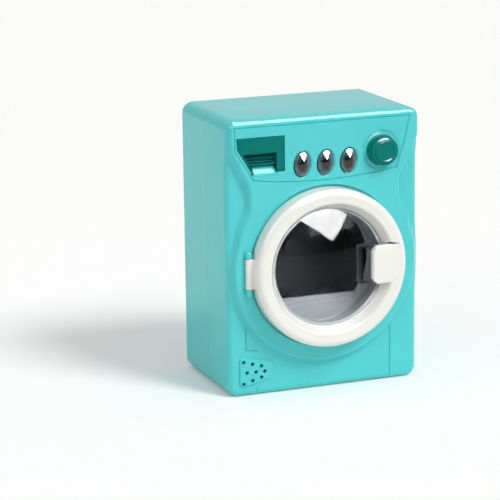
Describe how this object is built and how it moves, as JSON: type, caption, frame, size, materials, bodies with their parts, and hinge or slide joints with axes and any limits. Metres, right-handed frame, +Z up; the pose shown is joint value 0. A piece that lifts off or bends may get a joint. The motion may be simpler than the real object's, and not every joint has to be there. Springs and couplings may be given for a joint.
{
  "type": "toy washing machine",
  "caption": "Front-loading toy washing machine with a hinged round door, geared drum, detergent drawer, lit buttons, program dial and speaker, in a two-part moulded casing.",
  "frame": {"origin": "middle of the flat base, at half the overall width and depth", "axes": "+Z up, -Y towards the front with the door, +X to the right seen from the front"},
  "size_m": [0.163, 0.125, 0.222],
  "materials": {
    "aqua_shell": "glossy moulded plastic",
    "steel": "satin",
    "grey_plastic": "semi-gloss",
    "dark_plastic": "matte",
    "brass": "satin",
    "gear_plastic": "smooth",
    "motor_can": "satin",
    "white_plastic": "glossy",
    "clear_window": "clear glossy plastic",
    "dark_teal": "glossy",
    "smoked_lens": "smoked clear plastic",
    "board": "solder mask",
    "led_lens": "clear",
    "black_plastic": "matte",
    "paper_cone": "matte",
    "battery_wrap": "printed sleeve"
  },
  "bodies": {
    "body": {"front_casing": "aqua_shell", "rear_casing": "aqua_shell", "casing_screws": "steel", "tub_mouth": "grey_plastic", "tub": "dark_plastic", "tub_screws": "steel", "small_screws": "steel", "shaft_bush": "brass", "idler_pin": "steel", "gear_bridge": "grey_plastic", "motor": "motor_can", "hinge_pin": "steel", "drawer_housing": "dark_plastic", "spring_left": "steel", "spring_middle": "steel", "spring_right": "steel", "circuit_board": "board", "leds": "led_lens", "press_switches": "black_plastic", "sound_chip": "black_plastic", "speaker": "motor_can", "speaker_cone": "paper_cone", "speaker_retainer": "steel", "battery_cover": "aqua_shell", "battery_screw": "steel", "batteries": "battery_wrap", "battery_contacts": "steel", "power_switch": "black_plastic"},
    "door": {"door_ring": "white_plastic", "door_back_ring": "white_plastic", "door_window": "clear_window", "door_handle": "white_plastic", "door_latch": "grey_plastic", "door_screws": "steel"},
    "drum_assembly": {"drum": "dark_plastic", "drum_shaft": "steel", "shaft_clip": "steel", "drum_gear": "gear_plastic"},
    "idler": {"idler_gear": "gear_plastic"},
    "motor_rotor": {"motor_shaft": "steel", "motor_pinion": "gear_plastic"},
    "drawer": {"drawer_front": "dark_teal", "drawer_tray": "dark_teal"},
    "left_button": {"button_left": "smoked_lens"},
    "middle_button": {"button_middle": "smoked_lens"},
    "right_button": {"button_right": "smoked_lens"},
    "dial": {"dial_knob": "dark_teal", "dial_washer": "steel", "dial_screw": "steel"},
    "switch_knob": {"power_slider": "black_plastic"}
  },
  "joints": [
    {"name": "door_hinge", "type": "hinge", "parent": "body", "child": "door", "pos_m": [-0.0665, -0.048, 0.10145], "axis": [0, 0, -1], "range_deg": [0, 110]},
    {"name": "drum_turn", "type": "hinge", "parent": "body", "child": "drum_assembly", "pos_m": [0, 0, 0.10145], "axis": [0, 1, 0], "continuous": true},
    {"name": "idler_turn", "type": "hinge", "parent": "body", "child": "idler", "pos_m": [0.03041, 0.048, 0.07105], "axis": [0, 1, 0], "continuous": true},
    {"name": "motor_turn", "type": "hinge", "parent": "body", "child": "motor_rotor", "pos_m": [0.0495, 0.048, 0.05196], "axis": [0, 1, 0], "continuous": true},
    {"name": "drawer_slide", "type": "slide", "parent": "body", "child": "drawer", "axis": [0, -1, 0], "range_m": [0, 0.028]},
    {"name": "left_button_press", "type": "slide", "parent": "body", "child": "left_button", "axis": [0, 1, 0], "range_m": [0, 0.0015], "stiffness_N_per_m": 400, "springref_m": -0.001, "deforming": ["spring_left"]},
    {"name": "middle_button_press", "type": "slide", "parent": "body", "child": "middle_button", "axis": [0, 1, 0], "range_m": [0, 0.0015], "stiffness_N_per_m": 400, "springref_m": -0.001, "deforming": ["spring_middle"]},
    {"name": "right_button_press", "type": "slide", "parent": "body", "child": "right_button", "axis": [0, 1, 0], "range_m": [0, 0.0015], "stiffness_N_per_m": 400, "springref_m": -0.001, "deforming": ["spring_right"]},
    {"name": "dial_turn", "type": "hinge", "parent": "body", "child": "dial", "pos_m": [0.0475, -0.048, 0.19034], "axis": [0, 1, 0], "continuous": true},
    {"name": "power_slide", "type": "slide", "parent": "body", "child": "switch_knob", "axis": [1, 0, 0], "range_m": [0, 0.004]}
  ],
  "couplings": [
    {"joint": "idler_turn", "follows": "drum_turn", "ratio": -5.1429},
    {"joint": "motor_turn", "follows": "drum_turn", "ratio": 22.629}
  ]
}
